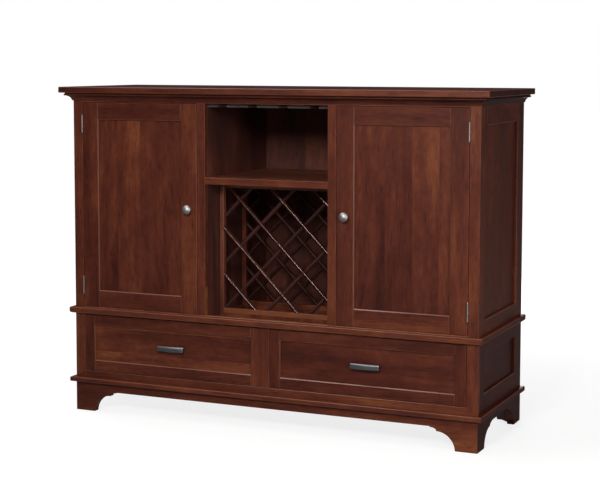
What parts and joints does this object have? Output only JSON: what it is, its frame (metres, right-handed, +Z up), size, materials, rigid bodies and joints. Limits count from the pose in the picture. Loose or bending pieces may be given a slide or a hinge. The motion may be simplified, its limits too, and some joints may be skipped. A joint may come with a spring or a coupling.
{
  "type": "bar armoire",
  "caption": "Low bar cabinet with panelled cupboard doors beside a centre bay of stemware rails over a lattice rack, drawers below, on bracket feet.",
  "frame": {"origin": "on the floor under the middle of the top slab", "axes": "+X to the right of someone facing the doors, +Y from the front to the back, +Z up"},
  "size_m": [1.657, 0.564, 1.219],
  "materials": {
    "stained_wood": "dark cherry stain under satin lacquer",
    "top_wood": "dark cherry stain under semi-gloss lacquer",
    "bare_wood": "clear satin lacquer",
    "ply": "thin stain, matte",
    "pewter": "cast, antiqued and burnished",
    "nickel": "satin nickel",
    "zinc": "bright zinc plate",
    "brown_plastic": "moulded, matte"
  },
  "bodies": {
    "carcass": {"base_back": "ply", "base_deck": "stained_wood", "base_face_frame": "stained_wood", "base_floor": "stained_wood", "base_moulding": "stained_wood", "base_partition": "stained_wood", "base_side_frames": "stained_wood", "base_side_panels": "stained_wood", "case_hinge_leaves": "nickel", "crown_moulding": "stained_wood", "dividers": "stained_wood", "door_catches": "brown_plastic", "left_cupboard_shelf": "stained_wood", "middle_shelf": "stained_wood", "plinth_back": "stained_wood", "plinth_corner_blocks": "stained_wood", "plinth_front": "stained_wood", "plinth_sides": "stained_wood", "rack_front_frame": "stained_wood", "rack_front_slats": "stained_wood", "rack_rear_frame": "stained_wood", "rack_rear_slats": "stained_wood", "rack_ties": "stained_wood", "right_cupboard_shelf": "stained_wood", "shelf_cleats": "stained_wood", "side_frames": "stained_wood", "side_panels": "stained_wood", "slide_case_members": "zinc", "slide_cleats": "stained_wood", "stemware_rails": "stained_wood", "sub_top": "stained_wood", "top_slab": "top_wood", "upper_back": "ply", "upper_face_frame": "stained_wood", "waist_moulding": "stained_wood"},
    "left_door": {"left_door_frame": "stained_wood", "left_door_panel": "stained_wood", "left_door_knob_and_strike": "pewter", "left_door_hinge_leaves": "nickel"},
    "left_drawer": {"left_drawer_front_frame": "stained_wood", "left_drawer_front_panel": "stained_wood", "left_drawer_box": "bare_wood", "left_drawer_bottom": "ply", "left_drawer_pull": "pewter", "left_slide_drawer_members": "zinc"},
    "left_slides": {"left_slide_middles": "zinc"},
    "right_door": {"right_door_frame": "stained_wood", "right_door_panel": "stained_wood", "right_door_knob_and_strike": "pewter", "right_door_hinge_leaves": "nickel"},
    "right_drawer": {"right_drawer_front_frame": "stained_wood", "right_drawer_front_panel": "stained_wood", "right_drawer_box": "bare_wood", "right_drawer_bottom": "ply", "right_drawer_pull": "pewter", "right_slide_drawer_members": "zinc"},
    "right_slides": {"right_slide_middles": "zinc"}
  },
  "joints": [
    {"name": "left_door_hinge", "type": "hinge", "parent": "carcass", "child": "left_door", "pos_m": [-0.7496, -0.2459, 0.78], "axis": [0, 0, -1], "range_deg": [0, 165]},
    {"name": "right_door_hinge", "type": "hinge", "parent": "carcass", "child": "right_door", "pos_m": [0.7496, -0.2459, 0.78], "axis": [0, 0, 1], "range_deg": [0, 165]},
    {"name": "left_drawer_slide", "type": "slide", "parent": "carcass", "child": "left_drawer", "axis": [0, -1, 0], "range_m": [0, 0.42]},
    {"name": "right_drawer_slide", "type": "slide", "parent": "carcass", "child": "right_drawer", "axis": [0, -1, 0], "range_m": [0, 0.42]},
    {"name": "left_slide_middle", "type": "slide", "parent": "carcass", "child": "left_slides", "axis": [0, -1, 0], "range_m": [0, 0.21]},
    {"name": "right_slide_middle", "type": "slide", "parent": "carcass", "child": "right_slides", "axis": [0, -1, 0], "range_m": [0, 0.21]}
  ],
  "couplings": [
    {"joint": "left_slide_middle", "follows": "left_drawer_slide", "ratio": 0.5},
    {"joint": "right_slide_middle", "follows": "right_drawer_slide", "ratio": 0.5}
  ]
}
